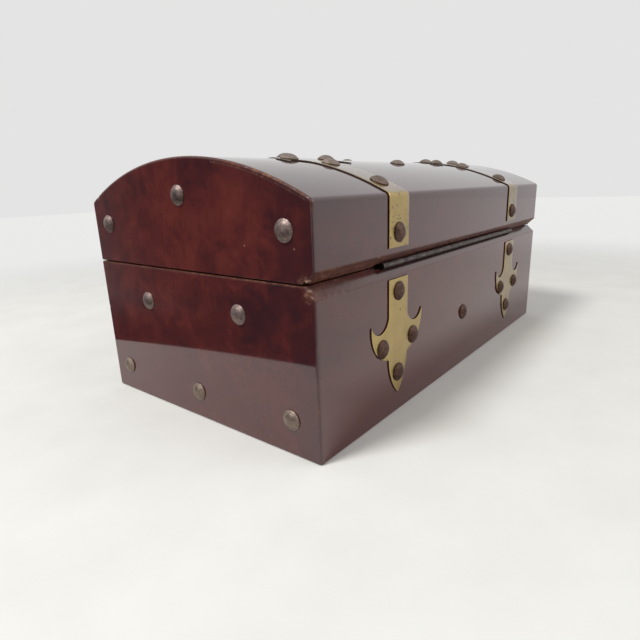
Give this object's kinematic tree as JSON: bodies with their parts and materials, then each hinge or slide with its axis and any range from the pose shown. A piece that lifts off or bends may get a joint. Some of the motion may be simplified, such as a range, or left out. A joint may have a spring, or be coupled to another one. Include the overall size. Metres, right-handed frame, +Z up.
{
  "type": "domed wooden box",
  "caption": "Lacquered wooden keepsake box with a domed lid on a piano hinge at the back, brass strap plates with hooked arms, and domed tacks on its sides.",
  "frame": {"origin": "on the ground under the middle of the box", "axes": "+X along the box, +Y to the back where the hinge is, +Z up"},
  "size_m": [0.299, 0.1656, 0.1328],
  "materials": {
    "lacquered_wood": "high gloss mottled red-brown lacquer, worn to bare wood along the edges",
    "plain_wood": "plain sanded wood",
    "strap_brass": "smooth pale sheet brass with small dark spots",
    "tack_bronze": "dark antique bronze, worn lighter on the rims",
    "hinge_steel": "dull tarnished plating"
  },
  "bodies": {
    "base": {"base_floor": "plain_wood", "base_front_wall": "lacquered_wood", "base_back_wall": "lacquered_wood", "base_back_tack": "tack_bronze", "base_front_tack": "tack_bronze", "hinge_base_leaf": "hinge_steel", "hinge_pin": "hinge_steel", "hinge_base_screws": "hinge_steel", "base_right_end": "lacquered_wood", "base_right_end_tacks": "tack_bronze", "base_plate_right": "strap_brass", "base_plate_right_tacks": "tack_bronze", "base_left_end": "lacquered_wood", "base_left_end_tacks": "tack_bronze", "base_plate_left": "strap_brass", "base_plate_left_tacks": "tack_bronze"},
    "lid": {"lid_dome": "lacquered_wood", "lid_front_rail": "lacquered_wood", "lid_back_rail": "lacquered_wood", "lid_top_rear_tack": "tack_bronze", "lid_top_crown_tack": "tack_bronze", "lid_top_front_tack": "tack_bronze", "hinge_lid_leaf": "hinge_steel", "hinge_lid_screws": "hinge_steel", "lid_right_end": "lacquered_wood", "lid_right_end_tacks": "tack_bronze", "lid_strap_right": "strap_brass", "lid_strap_right_tacks": "tack_bronze", "lid_left_end": "lacquered_wood", "lid_left_end_tacks": "tack_bronze", "lid_strap_left": "strap_brass", "lid_strap_left_tacks": "tack_bronze"}
  },
  "joints": [
    {"name": "lid_hinge", "type": "hinge", "parent": "base", "child": "lid", "pos_m": [0, 0.07717, 0.0776], "axis": [-1, 0, 0], "range_deg": [0, 118]}
  ]
}
